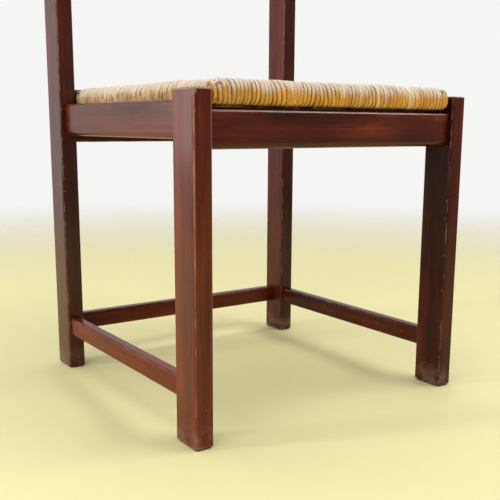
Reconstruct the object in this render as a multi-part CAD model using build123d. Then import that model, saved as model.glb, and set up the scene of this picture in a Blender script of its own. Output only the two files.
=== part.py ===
from build123d import *
import os

# Rush seat dining chair. Units are mm, +Z is up, the front looks along -Y.
# The origin lies on the floor under the middle of the chair.
# "Left" is the -X side, which is on the left for someone facing the front.

# Overall sizes
WIDTH = 451.0
DEPTH = 448.0
FRONT_LEG_TOP = 430.0
BACK_HEIGHT = 860.0

# Legs and back posts are boards set edge-on, with rounded arrises.
LEG_THICKNESS = 26.0
LEG_DEPTH = 50.0
LEG_ARRIS = 4.0
LEG_TOP_EASE = 1.5

# Foot pads
PAD_THICKNESS = 2.5
PAD_MARGIN = 2.0
PAD_CORNER = 3.0

# Seat rails, set back from the legs' outer faces; the side ones lie flush with their inner faces
RAIL_SETBACK = 8.5
RAIL_THICKNESS = 20.0
RAIL_TOP_ARRIS = 4.0
RAIL_FOOT_ARRIS = 8.0
RAIL_INNER_ARRIS = 2.0
FRONT_RAIL_TOP = 406.5
FRONT_RAIL_HEIGHT = 46.0
SIDE_RAIL_TOP = 418.5
SIDE_RAIL_HEIGHT = 47.0
BACK_RAIL_TOP = 441.0
BACK_RAIL_HEIGHT = 80.0

# Stretchers near the floor
STRETCHER_THICKNESS = 18.0
STRETCHER_HEIGHT = 27.5
STRETCHER_TOP = 82.5
STRETCHER_ARRIS = 4.0
BACK_STRETCHER_SETBACK = 7.0

# Back slats, bent backwards between the posts
SLAT_THICKNESS = 14.0
SLAT_BOW = 18.0
SLAT_FRONT_SETBACK = 7.0
SLAT_ARRIS = 4.0
UPPER_SLAT_DROP = 12.0
UPPER_SLAT_HEIGHT = 72.0
LOWER_SLAT_HEIGHT = 60.0
SLAT_SPACE = 61.0

# Mortise and tenon joints
TENON_THICKNESS = 8.0
TENON_SHOULDER = 6.0
FRONT_TENON_LENGTH = 22.0
REAR_TENON_LENGTH = 17.0
CROSS_TENON_LENGTH = 16.0
JOINT_FIT = 0.1

# Corner blocks glued inside the seat rails, which carry the seat just above the front rail
BLOCK_LEG = 55.0
BLOCK_HEIGHT = 30.0
BLOCK_RISE = 3.2

# Seat bearers: strips glued along the rails between the blocks, level with their tops
BEARER_THICKNESS = 12.0
BEARER_HEIGHT = 22.0
BEARER_END_GAP = 1.0

# Loose rush seat
SEAT_SIDE_GAP = 1.5
SEAT_REST_GAP = 0.3
SEAT_FRONT_SETBACK = 4.0
SEAT_EDGE_HEIGHT = 32.5
SEAT_CROWN = 5.0
SEAT_CORNER = 10.0
SEAT_TOP_ROUND = 15.0
SEAT_FOOT_ROUND = 11.0
RUSH_THICKNESS = 6.0
RUSH_FIT = 0.15
FRAME_BAR_WIDTH = 40.0
FRAME_TENON_WIDTH = 22.0
FRAME_TENON_THICKNESS = 8.0
FRAME_TENON_LENGTH = 18.0



def narrowed(span, each_side):
    """A span with the same amount taken off both ends."""
    return (span[0] + each_side, span[1] - each_side)


# Places that follow from the sizes above
HALF_WIDTH = WIDTH / 2
HALF_DEPTH = DEPTH / 2
LEG_INNER = HALF_WIDTH - LEG_THICKNESS
FRONT_LEG_BACK = LEG_DEPTH - HALF_DEPTH
POST_FRONT = HALF_DEPTH - LEG_DEPTH
FRONT_RAIL_Y = (RAIL_SETBACK - HALF_DEPTH, RAIL_SETBACK - HALF_DEPTH + RAIL_THICKNESS)
POST_MIDDLE = HALF_DEPTH - LEG_DEPTH / 2
BACK_RAIL_Y = (POST_MIDDLE - RAIL_THICKNESS / 2, POST_MIDDLE + RAIL_THICKNESS / 2)
SIDE_RAIL_X = (RAIL_SETBACK - HALF_WIDTH, -LEG_INNER)
STRETCHER_Z = (STRETCHER_TOP - STRETCHER_HEIGHT, STRETCHER_TOP)
SIDE_STRETCHER_X = (
    (LEG_THICKNESS - STRETCHER_THICKNESS) / 2 - HALF_WIDTH,
    (LEG_THICKNESS + STRETCHER_THICKNESS) / 2 - HALF_WIDTH,
)
BACK_STRETCHER_Y = (
    HALF_DEPTH - BACK_STRETCHER_SETBACK - STRETCHER_THICKNESS,
    HALF_DEPTH - BACK_STRETCHER_SETBACK,
)
FRONT_RAIL_Z = (FRONT_RAIL_TOP - FRONT_RAIL_HEIGHT, FRONT_RAIL_TOP)
SIDE_RAIL_Z = (SIDE_RAIL_TOP - SIDE_RAIL_HEIGHT, SIDE_RAIL_TOP)
BACK_RAIL_Z = (BACK_RAIL_TOP - BACK_RAIL_HEIGHT, BACK_RAIL_TOP)
UPPER_SLAT_TOP = BACK_HEIGHT - UPPER_SLAT_DROP
UPPER_SLAT_Z = (UPPER_SLAT_TOP - UPPER_SLAT_HEIGHT, UPPER_SLAT_TOP)
LOWER_SLAT_TOP = UPPER_SLAT_Z[0] - SLAT_SPACE
LOWER_SLAT_Z = (LOWER_SLAT_TOP - LOWER_SLAT_HEIGHT, LOWER_SLAT_TOP)
SLAT_END_Y = (POST_FRONT + SLAT_FRONT_SETBACK, POST_FRONT + SLAT_FRONT_SETBACK + SLAT_THICKNESS)
BLOCK_TOP = FRONT_RAIL_TOP + BLOCK_RISE
SEAT_BOTTOM = BLOCK_TOP + SEAT_REST_GAP
SEAT_X = (SEAT_SIDE_GAP - LEG_INNER, LEG_INNER - SEAT_SIDE_GAP)
SEAT_Y = (SEAT_FRONT_SETBACK - HALF_DEPTH, BACK_RAIL_Y[0] - SEAT_SIDE_GAP)
SEAT_Z = (SEAT_BOTTOM, SEAT_BOTTOM + SEAT_EDGE_HEIGHT + SEAT_CROWN)
SEAT_REACH = min(SEAT_X[1] - SEAT_X[0], SEAT_Y[1] - SEAT_Y[0]) / 2
BLOCK_Z = (BLOCK_TOP - BLOCK_HEIGHT, BLOCK_TOP)
BEARER_Z = (BLOCK_TOP - BEARER_HEIGHT, BLOCK_TOP)
BEARER_X = narrowed((-LEG_INNER, LEG_INNER), BLOCK_LEG + BEARER_END_GAP)
BEARER_Y = narrowed((FRONT_RAIL_Y[1], BACK_RAIL_Y[0]), BLOCK_LEG + BEARER_END_GAP)


def middle(span):
    """Middle of a (low, high) span."""
    return (span[0] + span[1]) / 2


def centred(place, size):
    """A span of the given size around a place."""
    return (place - size / 2, place + size / 2)


def box(x, y, z):
    """Plain box between three (low, high) spans."""
    size = [span[1] - span[0] for span in (x, y, z)]
    return Pos(middle(x), middle(y), middle(z)) * Box(*size)


def eased(solid, axis, radius):
    """Round every edge that runs along an axis."""
    return fillet(solid.edges().filter_by(axis), radius)


def mirrored(solid):
    """The same piece on the other side of the chair."""
    return mirror(solid, about=Plane.YZ)


def tenon_spans(thickness_span, height_span, grow):
    """Cross-section of a tenon in the middle of a bar's end; grow makes it the mortise."""
    thickness = centred(middle(thickness_span), TENON_THICKNESS + 2 * grow)
    height = narrowed(height_span, TENON_SHOULDER - grow)
    return thickness, height


def side_tenons(x_span, z_span, grow):
    """Tenons at both ends of a bar that runs from a front leg to a back post."""
    x, z = tenon_spans(x_span, z_span, grow)
    front = box(x, (FRONT_LEG_BACK - FRONT_TENON_LENGTH - grow, FRONT_LEG_BACK), z)
    rear = box(x, (POST_FRONT, POST_FRONT + REAR_TENON_LENGTH + grow), z)
    return front + rear


def cross_tenons(y_span, z_span, grow):
    """Tenons at both ends of a bar that runs from the left side to the right side."""
    y, z = tenon_spans(y_span, z_span, grow)
    left = box((-LEG_INNER - CROSS_TENON_LENGTH - grow, -LEG_INNER), y, z)
    return left + mirrored(left)


def rail_arrises(bar, along, outward):
    """Round a rail's long edges: a fine arris at its outer top and a full one at its outer foot."""
    top = bar.edges().filter_by(along).group_by(Axis.Z)[-1].sort_by(outward)[-1]
    bar = fillet(top, RAIL_TOP_ARRIS)
    foot = bar.edges().filter_by(along).group_by(Axis.Z)[0].sort_by(outward)[-1]
    bar = fillet(foot, RAIL_FOOT_ARRIS)
    return fillet(bar.edges().filter_by(along).sort_by(outward)[:2], RAIL_INNER_ARRIS)


def side_bar(x_span, z_span):
    """Plain bar between a front leg and a back post."""
    return box(x_span, (FRONT_LEG_BACK, POST_FRONT), z_span)


def cross_bar(y_span, z_span):
    """Plain bar between the left and right sides."""
    return box((-LEG_INNER, LEG_INNER), y_span, z_span)


def side_rail():
    """Left-hand seat rail with its tenons."""
    bar = rail_arrises(side_bar(SIDE_RAIL_X, SIDE_RAIL_Z), Axis.Y, -Axis.X)
    return bar + side_tenons(SIDE_RAIL_X, SIDE_RAIL_Z, 0)


def cross_rail(y_span, z_span, outward):
    """Front or back seat rail with its tenons."""
    return rail_arrises(cross_bar(y_span, z_span), Axis.X, outward) + cross_tenons(y_span, z_span, 0)


def side_stretcher():
    """Left-hand stretcher with its tenons."""
    bar = eased(side_bar(SIDE_STRETCHER_X, STRETCHER_Z), Axis.Y, STRETCHER_ARRIS)
    return bar + side_tenons(SIDE_STRETCHER_X, STRETCHER_Z, 0)


def back_stretcher():
    """Stretcher between the back posts with its tenons."""
    bar = eased(cross_bar(BACK_STRETCHER_Y, STRETCHER_Z), Axis.X, STRETCHER_ARRIS)
    return bar + cross_tenons(BACK_STRETCHER_Y, STRETCHER_Z, 0)


def upright(y_span, top):
    """Left-hand leg or post: a board with rounded arrises and an eased top."""
    board = box((-HALF_WIDTH, -LEG_INNER), y_span, (PAD_THICKNESS, top))
    board = eased(board, Axis.Z, LEG_ARRIS)
    return chamfer(board.faces().sort_by(Axis.Z)[-1].edges(), LEG_TOP_EASE)


def upright_prism(outline, z_span):
    """Straight prism over a closed outline in plan."""
    plan = make_face(Polyline(*outline, close=True))
    return extrude(Plane.XY.offset(z_span[0]) * plan, z_span[1] - z_span[0])


def back_slat(z_span):
    """Bent board between the back posts, bowed to the rear, with tenons."""
    front, rear = SLAT_END_Y
    with BuildPart() as slat:
        with BuildSketch(Plane.XY.offset(z_span[0])):
            with BuildLine():
                ThreePointArc((-LEG_INNER, front), (0, front + SLAT_BOW), (LEG_INNER, front))
                Line((LEG_INNER, front), (LEG_INNER, rear))
                ThreePointArc((LEG_INNER, rear), (0, rear + SLAT_BOW), (-LEG_INNER, rear))
                Line((-LEG_INNER, rear), (-LEG_INNER, front))
            make_face()
        extrude(amount=z_span[1] - z_span[0])
        fillet(slat.edges().filter_by(GeomType.CIRCLE), SLAT_ARRIS)
    return slat.part + cross_tenons(SLAT_END_Y, z_span, 0)


def corner_block(corner_y, inward):
    """Left-hand triangular block in a corner of the rails; inward is +1 at the front."""
    corner = (-LEG_INNER, corner_y)
    along_rail = (-LEG_INNER + BLOCK_LEG, corner_y)
    along_side = (-LEG_INNER, corner_y + inward * BLOCK_LEG)
    return upright_prism((corner, along_rail, along_side), BLOCK_Z)


def seat_section(inset):
    """Half section of the seat, from its rolled edge at u = 0 to the ridge in the middle.

    Inset draws the section in by the same amount at the foot, the edge and the top.
    """
    foot_round = SEAT_FOOT_ROUND - inset
    top_round = SEAT_TOP_ROUND - inset
    edge_top = SEAT_EDGE_HEIGHT - inset
    with BuildSketch() as section:
        with BuildLine():
            Line((SEAT_REACH, inset), (SEAT_FOOT_ROUND, inset))
            RadiusArc((SEAT_FOOT_ROUND, inset), (inset, SEAT_FOOT_ROUND), foot_round)
            Line((inset, SEAT_FOOT_ROUND), (inset, edge_top - top_round))
            RadiusArc((inset, edge_top - top_round), (SEAT_TOP_ROUND, edge_top), top_round)
            TangentArc(
                (SEAT_REACH, edge_top + SEAT_CROWN),
                (SEAT_TOP_ROUND, edge_top),
                tangent=(-1, 0),
            )
            Line((SEAT_REACH, edge_top + SEAT_CROWN), (SEAT_REACH, inset))
        make_face()
    return section.sketch


def seat_sector(section, start, end):
    """Run a half section along one side of the seat and cut it on seams at 45 degrees."""
    up = Vector(0, 0, 1)
    along = Vector(*end) - Vector(*start)
    inward = up.cross(along).normalized()
    edge_middle = (Vector(*start) + Vector(*end)) / 2
    apex = edge_middle + inward * along.length / 2
    plane = Plane(edge_middle + up * SEAT_BOTTOM, x_dir=inward, z_dir=along)
    run = extrude(plane * section, along.length / 2, both=True)
    sector = upright_prism((start, end, (apex.X, apex.Y)), SEAT_Z)
    return run & sector & eased(box(SEAT_X, SEAT_Y, SEAT_Z), Axis.Z, SEAT_CORNER)


pieces = {}


def add_pair(name, piece):
    """Keep a left-hand piece and its mirror image."""
    pieces[f"{name}_left"] = piece
    pieces[f"{name}_right"] = mirror(piece, about=Plane.YZ)


# Rails, stretchers and slats
add_pair("side_rail", side_rail())
pieces["front_rail"] = cross_rail(FRONT_RAIL_Y, FRONT_RAIL_Z, -Axis.Y)
pieces["back_rail"] = cross_rail(BACK_RAIL_Y, BACK_RAIL_Z, Axis.Y)
add_pair("side_stretcher", side_stretcher())
pieces["back_stretcher"] = back_stretcher()
pieces["lower_back_slat"] = back_slat(LOWER_SLAT_Z)
pieces["upper_back_slat"] = back_slat(UPPER_SLAT_Z)

# Legs and posts, with a mortise for each tenon
side_mortises = side_tenons(SIDE_RAIL_X, SIDE_RAIL_Z, JOINT_FIT)
side_mortises += side_tenons(SIDE_STRETCHER_X, STRETCHER_Z, JOINT_FIT)
front_leg = upright((-HALF_DEPTH, FRONT_LEG_BACK), FRONT_LEG_TOP)
front_leg -= side_mortises + cross_tenons(FRONT_RAIL_Y, FRONT_RAIL_Z, JOINT_FIT)
back_post = upright((POST_FRONT, HALF_DEPTH), BACK_HEIGHT) - side_mortises
cross_joints = (
    (BACK_RAIL_Y, BACK_RAIL_Z),
    (BACK_STRETCHER_Y, STRETCHER_Z),
    (SLAT_END_Y, LOWER_SLAT_Z),
    (SLAT_END_Y, UPPER_SLAT_Z),
)
for joint_y, joint_z in cross_joints:
    back_post -= cross_tenons(joint_y, joint_z, JOINT_FIT)

add_pair("front_leg", front_leg)
add_pair("back_post", back_post)

# Foot pads, a little smaller than the wood above them
pad_x = narrowed((-HALF_WIDTH, -LEG_INNER), PAD_MARGIN)
for end, foot_y in (("front", (-HALF_DEPTH, FRONT_LEG_BACK)), ("back", (POST_FRONT, HALF_DEPTH))):
    pad = box(pad_x, narrowed(foot_y, PAD_MARGIN), (0, PAD_THICKNESS))
    add_pair(f"foot_pad_{end}", chamfer(pad.edges().filter_by(Axis.Z), PAD_CORNER))

# Corner blocks
add_pair("corner_block_front", corner_block(FRONT_RAIL_Y[1], 1))
add_pair("corner_block_back", corner_block(BACK_RAIL_Y[0], -1))

# Seat bearers
front_bearer_y = (FRONT_RAIL_Y[1], FRONT_RAIL_Y[1] + BEARER_THICKNESS)
back_bearer_y = (BACK_RAIL_Y[0] - BEARER_THICKNESS, BACK_RAIL_Y[0])
side_bearer_x = (-LEG_INNER, BEARER_THICKNESS - LEG_INNER)
pieces["seat_bearer_front"] = box(BEARER_X, front_bearer_y, BEARER_Z)
pieces["seat_bearer_back"] = box(BEARER_X, back_bearer_y, BEARER_Z)
add_pair("seat_bearer", box(side_bearer_x, BEARER_Y, BEARER_Z))

# Wooden frame inside the seat: the side bars are tenoned into the front and rear bars
front_left = (SEAT_X[0], SEAT_Y[0])
front_right = (SEAT_X[1], SEAT_Y[0])
rear_left = (SEAT_X[0], SEAT_Y[1])
rear_right = (SEAT_X[1], SEAT_Y[1])
seat_sides = {
    "front": (front_left, front_right),
    "right": (front_right, rear_right),
    "rear": (rear_right, rear_left),
    "left": (rear_left, front_left),
}
core_section = seat_section(RUSH_THICKNESS + RUSH_FIT)
core = Part() + [seat_sector(core_section, *side) for side in seat_sides.values()]
frame_x = narrowed(SEAT_X, RUSH_THICKNESS + FRAME_BAR_WIDTH)
frame_y = narrowed(SEAT_Y, RUSH_THICKNESS + FRAME_BAR_WIDTH)
tenon_x = centred(frame_x[0] - FRAME_BAR_WIDTH / 2, FRAME_TENON_WIDTH)
tenon_z = centred(SEAT_BOTTOM + SEAT_EDGE_HEIGHT / 2, FRAME_TENON_THICKNESS)
frame_tenons = box(tenon_x, narrowed(frame_y, -FRAME_TENON_LENGTH), tenon_z)
frame_mortises = box(
    narrowed(tenon_x, -JOINT_FIT),
    narrowed(frame_y, -FRAME_TENON_LENGTH - JOINT_FIT),
    narrowed(tenon_z, -JOINT_FIT),
)
frame_mortises += mirrored(frame_mortises)
frame_side = (core & box((SEAT_X[0], frame_x[0]), frame_y, SEAT_Z)) + frame_tenons
pieces["seat_frame_front"] = (core & box(SEAT_X, (SEAT_Y[0], frame_y[0]), SEAT_Z)) - frame_mortises
pieces["seat_frame_rear"] = (core & box(SEAT_X, (frame_y[1], SEAT_Y[1]), SEAT_Z)) - frame_mortises
add_pair("seat_frame", frame_side)

# Packing inside the frame, and the rush that is wound round frame and packing
pieces["seat_packing"] = core & box(narrowed(frame_x, RUSH_FIT), narrowed(frame_y, RUSH_FIT), SEAT_Z)
rush_section = seat_section(0) - seat_section(RUSH_THICKNESS)
for name, side in seat_sides.items():
    pieces[f"rush_{name}"] = seat_sector(rush_section, *side)

os.makedirs("parts", exist_ok=True)
for name, piece in pieces.items():
    export_step(piece, f"parts/{name}.step")
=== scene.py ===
"""Looks of the rush seat chair: stained boards, a woven rush seat, a plain studio and the camera."""

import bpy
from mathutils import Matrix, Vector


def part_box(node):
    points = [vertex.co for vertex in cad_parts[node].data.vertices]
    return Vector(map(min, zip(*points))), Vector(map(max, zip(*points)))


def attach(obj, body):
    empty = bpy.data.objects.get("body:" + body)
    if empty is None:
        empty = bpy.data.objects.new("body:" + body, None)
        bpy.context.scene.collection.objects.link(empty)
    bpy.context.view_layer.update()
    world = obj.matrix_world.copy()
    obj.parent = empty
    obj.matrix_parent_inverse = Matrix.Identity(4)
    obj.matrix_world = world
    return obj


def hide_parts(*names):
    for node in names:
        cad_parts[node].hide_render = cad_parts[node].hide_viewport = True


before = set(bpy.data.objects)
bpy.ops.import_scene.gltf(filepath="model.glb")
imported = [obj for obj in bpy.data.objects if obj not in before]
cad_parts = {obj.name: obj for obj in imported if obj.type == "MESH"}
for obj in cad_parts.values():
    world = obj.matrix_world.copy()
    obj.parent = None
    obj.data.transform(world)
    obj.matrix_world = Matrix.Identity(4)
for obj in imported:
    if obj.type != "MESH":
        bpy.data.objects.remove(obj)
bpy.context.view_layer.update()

import logging
import math
import random
from dataclasses import dataclass, field
from enum import Enum
from functools import reduce
from typing import Any

import bmesh
import bpy
from mathutils import Matrix, Vector

Colour = tuple[float, float, float, float]
Triple = tuple[float, float, float]
Band = tuple[float, float]
Box = tuple[Vector, Vector]
Socket = bpy.types.NodeSocket
# Where a smooth step starts and ends, then its value at the start and at the end
Fade = tuple[float, float, float, float]
# Scale of a noise across the grain per metre, its stretch along the grain and its detail
Grain = tuple[float, float, float]

LOG = logging.getLogger("rush_seat_chair")
CORNERS = ("front_left", "front_right", "back_left", "back_right")


def srgb(red: int, green: int, blue: int) -> Colour:
    """Turn an 8-bit display colour into the linear colour that shaders use.

    Args:
        red: Red from 0 to 255.
        green: Green from 0 to 255.
        blue: Blue from 0 to 255.

    Returns:
        Linear red, green, blue and an alpha of 1.
    """
    shares = [value / 255 for value in (red, green, blue)]
    linear = [share / 12.92 if share <= 0.04045 else ((share + 0.055) / 1.055) ** 2.4 for share in shares]
    return (*linear, 1.0)


class Axis(Enum):
    """Direction in which the grain of a board runs."""

    X = 0
    Y = 1
    Z = 2


class NodeGraph:
    """Adds nodes to a node tree and links them."""

    def __init__(self, tree: bpy.types.NodeTree) -> None:
        """Keep the tree that nodes are added to."""
        self.tree = tree

    def add(self, kind: str, inputs: dict[str | int, Any] | None = None, **settings: Any) -> bpy.types.Node:
        """Add one node.

        Args:
            kind: Type name of the node.
            inputs: Values or sockets for the node's inputs, by name or index.
            **settings: Properties set on the node before its inputs.

        Returns:
            The new node.
        """
        node = self.tree.nodes.new(kind)
        for key, value in settings.items():
            setattr(node, key, value)
        self.fill(node, inputs or {})
        return node

    def fill(self, node: bpy.types.Node, inputs: dict[str | int, Any]) -> None:
        """Link sockets to the inputs of a node, or set the inputs' own values.

        Args:
            node: The node that is filled.
            inputs: Values or sockets for the inputs, by name or index.
        """
        for key, value in inputs.items():
            if isinstance(value, bpy.types.NodeSocket):
                self.tree.links.new(value, node.inputs[key])
            else:
                node.inputs[key].default_value = value

    def math(self, operation: str, *values: Any) -> Socket:
        """Result of a math node on up to three values or sockets."""
        return self.add("ShaderNodeMath", dict(enumerate(values)), operation=operation).outputs[0]

    def product(self, *values: Any) -> Socket:
        """Product of two or more values or sockets."""
        return reduce(lambda first, second: self.math("MULTIPLY", first, second), values)

    def sway(self, noise: Socket, share: Any, middle: Any) -> Socket:
        """A middle value that a noise between 0 and 1 raises and lowers by half a share."""
        return self.math("MULTIPLY_ADD", self.math("SUBTRACT", noise, 0.5), share, middle)

    def inset(self, place: Any, axis: int, box: Box) -> Socket:
        """How far a point lies inside a box along one axis.

        Args:
            place: The three coordinates of the point.
            axis: Number of the axis.
            box: Lowest and highest corner of the box.

        Returns:
            Distance from the nearer of the two faces.
        """
        low, high = box[0][axis], box[1][axis]
        offset = self.math("SUBTRACT", place[axis], (low + high) / 2)
        return self.math("SUBTRACT", (high - low) / 2, self.math("ABSOLUTE", offset))

    def vector(self, operation: str, first: Any, second: Any = (0.0, 0.0, 0.0)) -> Socket:
        """Result of a vector math node: a number for a length or a dot product, else a vector."""
        outputs = self.add("ShaderNodeVectorMath", {0: first, 1: second}, operation=operation).outputs
        return outputs["Value" if operation in ("LENGTH", "DOT_PRODUCT") else "Vector"]

    def parts(self, vector: Any) -> Any:
        """The three numbers of a vector."""
        return self.add("ShaderNodeSeparateXYZ", {0: vector}).outputs

    def joined(self, *numbers: Any) -> Socket:
        """Vector of up to three numbers or sockets."""
        return self.add("ShaderNodeCombineXYZ", dict(enumerate(numbers))).outputs[0]

    def mix(self, factor: Any, first: Any, second: Any) -> Socket:
        """Blend of two colours, where the factor is the share of the second."""
        return self.add("ShaderNodeMix", {0: factor, 6: first, 7: second}, data_type="RGBA").outputs[2]

    def step(self, value: Any, low: Any, high: Any, start: float = 0.0, end: float = 1.0) -> Socket:
        """Smooth step of a value from start at low to end at high."""
        inputs = {"Value": value, "From Min": low, "From Max": high, "To Min": start, "To Max": end}
        return self.add("ShaderNodeMapRange", inputs, interpolation_type="SMOOTHSTEP").outputs[0]

    def ramp(self, factor: Any, stops: list[tuple[float, Colour]]) -> Socket:
        """Colour ramp through the given stops.

        Args:
            factor: Place on the ramp.
            stops: Places and colours in rising order.

        Returns:
            The colour socket.
        """
        node = self.add("ShaderNodeValToRGB", {"Fac": factor})
        elements = node.color_ramp.elements
        while len(elements) < len(stops):
            elements.new(1.0)
        for element, (place, colour) in zip(elements, stops):
            element.position = place
            element.color = colour
        return node.outputs["Color"]

    def noise(self, vector: Any, scale: float = 1.0, detail: float = 3.0, roughness: float = 0.55) -> Socket:
        """Noise between 0 and 1 over a vector."""
        inputs = {"Vector": vector, "Scale": scale, "Detail": detail, "Roughness": roughness}
        return self.add("ShaderNodeTexNoise", inputs).outputs[0]

    def mapped(self, vector: Any, scale: Triple, shift: Triple = (0.0, 0.0, 0.0)) -> Socket:
        """A vector scaled and then shifted."""
        return self.add("ShaderNodeMapping", {"Vector": vector, "Location": shift, "Scale": scale}).outputs[0]

    def attribute(self, name: str) -> Socket:
        """Number that a mesh stores under a name."""
        return self.add("ShaderNodeAttribute", attribute_name=name).outputs["Fac"]


class GrowthTree(NodeGraph):
    """Geometry node tree with named inputs that ends in one dressed mesh."""

    def __init__(self, name: str, kinds: dict[str, str]) -> None:
        """Make the tree and its inputs.

        Args:
            name: Name of the tree.
            kinds: Kinds of the inputs by name, besides the geometry, the seed and the material.
        """
        super().__init__(bpy.data.node_groups.new(name, "GeometryNodeTree"))
        every = {"Geometry": "Geometry", **kinds, "Seed": "Int", "Material": "Material"}
        for label, kind in every.items():
            self.tree.interface.new_socket(label, in_out="INPUT", socket_type=f"NodeSocket{kind}")
        self.tree.interface.new_socket("Geometry", in_out="OUTPUT", socket_type="NodeSocketGeometry")
        self.given = self.add("NodeGroupInput").outputs

    def store(self, geometry: Socket, name: str, value: Socket) -> Socket:
        """Geometry that keeps a number under a name at each of its points."""
        inputs = {"Geometry": geometry, "Name": name, "Value": value}
        return self.add("GeometryNodeStoreNamedAttribute", inputs, domain="POINT").outputs[0]

    def end(self, geometry: Socket) -> bpy.types.GeometryNodeTree:
        """Realize the geometry, give it the material and finish the tree.

        Args:
            geometry: What the tree has made.

        Returns:
            The finished tree.
        """
        real = self.add("GeometryNodeRealizeInstances", {"Geometry": geometry}).outputs[0]
        inputs = {"Geometry": real, "Material": self.given["Material"]}
        dressed = self.add("GeometryNodeSetMaterial", inputs).outputs[0]
        self.add("NodeGroupOutput", {"Geometry": dressed})
        return self.tree


def placed(name: str, data: bpy.types.ID) -> bpy.types.Object:
    """Put new data into the scene.

    Args:
        name: Name of the object.
        data: Its mesh, curve, light or camera.

    Returns:
        The object, linked to the scene.
    """
    obj = bpy.data.objects.new(name, data)
    bpy.context.scene.collection.objects.link(obj)
    return obj


def put_on(node: str, material: bpy.types.Material) -> None:
    """Give a CAD node one material and report it.

    Args:
        node: Name of the CAD node.
        material: The finish it gets.
    """
    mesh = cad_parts[node].data
    mesh.materials.clear()
    mesh.materials.append(material)
    LOG.info("%s wears %s", node, material.name)


def grown(carrier: bpy.types.Object, tree: bpy.types.GeometryNodeTree, sizes: dict[str, Any],
          name: str) -> bpy.types.Object:
    """Run a node tree on an object and keep the result as a plain mesh.

    Args:
        carrier: Object that the tree starts from; it is removed.
        tree: The node tree.
        sizes: Values of the tree's inputs by name.
        name: Name of the new piece.

    Returns:
        The new mesh object, linked to the scene.
    """
    modifier = carrier.modifiers.new("grown", "NODES")
    modifier.node_group = tree
    for item in tree.interface.items_tree:
        if item.in_out == "INPUT" and item.name in sizes:
            modifier[item.identifier] = sizes[item.name]
    graph = bpy.context.evaluated_depsgraph_get()
    mesh = bpy.data.meshes.new_from_object(carrier.evaluated_get(graph), preserve_all_data_layers=True,
                                           depsgraph=graph)
    carrier.modifiers.clear()
    bpy.data.objects.remove(carrier)
    mesh.name = name
    work = bmesh.new()
    work.from_mesh(mesh)
    bmesh.ops.recalc_face_normals(work, faces=work.faces)
    work.to_mesh(mesh)
    work.free()
    LOG.info("%s has %d faces", name, len(mesh.polygons))
    return placed(name, mesh)


class Finish:
    """Base of all finishes: makes a material with one shader that fills its output."""

    def start(self, name: str) -> tuple[bpy.types.Material, NodeGraph, bpy.types.Node]:
        """Make an empty material.

        Args:
            name: Name of the material.

        Returns:
            The material, its graph and its shader node.
        """
        material = bpy.data.materials.new(name)
        material.use_nodes = True
        material.node_tree.nodes.clear()
        graph = NodeGraph(material.node_tree)
        shader = graph.add("ShaderNodeBsdfPrincipled")
        graph.add("ShaderNodeOutputMaterial", {"Surface": shader.outputs[0]})
        return material, graph, shader

    def place(self, graph: NodeGraph) -> Socket:
        """Object coordinates, which are the chair's own frame in metres."""
        return graph.add("ShaderNodeTexCoord").outputs["Object"]

    def bump(self, graph: NodeGraph, shader: bpy.types.Node, height: Socket, relief: float) -> None:
        """Give the shader a bump from a height between 0 and 1 and its relief in metres."""
        node = graph.add("ShaderNodeBump", {"Strength": 1.0, "Distance": relief, "Height": height})
        graph.fill(shader, {"Normal": node.outputs[0]})


@dataclass(frozen=True)
class Board:
    """A wooden piece of the frame: how its grain runs, how light its stain is, how much wear and painted
    arris highlight it shows, and how much painted shade or light its left face gets.
    """

    node: str
    grain: Axis
    tone: float = 0.0
    # Share of pale arris lines, partly wear and partly a painted highlight
    wear_sheen_share: float = 0.0
    cloud: float = 0.34
    polish: float = 1.0
    # Painted shade on the left face; a negative share paints it lighter, a painted sheen
    painted_left_shade: float = 0.0
    ends_show: bool = False
    worn_corner: bool = False


@dataclass(frozen=True)
class BoardSurface:
    """What the shader of a board starts from; the shift makes each board its own cut of wood."""

    graph: NodeGraph
    place: Socket
    board: Board
    shift: float
    shift_ratios: Triple = (1.0, 1.7, 0.6)

    def noise(self, scale: float, stretch: float, detail: float) -> Socket:
        """Noise drawn out along the grain.

        Args:
            scale: Scale across the grain, per metre.
            stretch: Share of that scale along the grain.
            detail: Detail of the noise.

        Returns:
            Socket with the noise.
        """
        scales = [scale] * 3
        scales[self.board.grain.value] *= stretch
        shifts = tuple(self.shift * ratio for ratio in self.shift_ratios)
        return self.graph.noise(self.graph.mapped(self.place, tuple(scales), shifts), detail=detail)

    def height(self) -> Socket:
        """Height over the floor, in metres."""
        return self.graph.parts(self.place)[2]

    def edge_distance(self) -> Socket:
        """Distance from the nearest arris of the board, in metres.

        Returns:
            The second smallest of the distances from the faces that show.
        """
        graph, board = self.graph, self.board
        parts = graph.parts(self.place)
        depths = [graph.inset(parts, axis.value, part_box(board.node)) for axis in Axis
                  if axis is not board.grain or board.ends_show]
        nearest = graph.math("MAXIMUM", depths[0], depths[1])
        if len(depths) == 3:
            inner = graph.math("MINIMUM", depths[0], depths[1])
            nearest = graph.math("MAXIMUM", inner, graph.math("MINIMUM", nearest, depths[2]))
        return nearest


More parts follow.
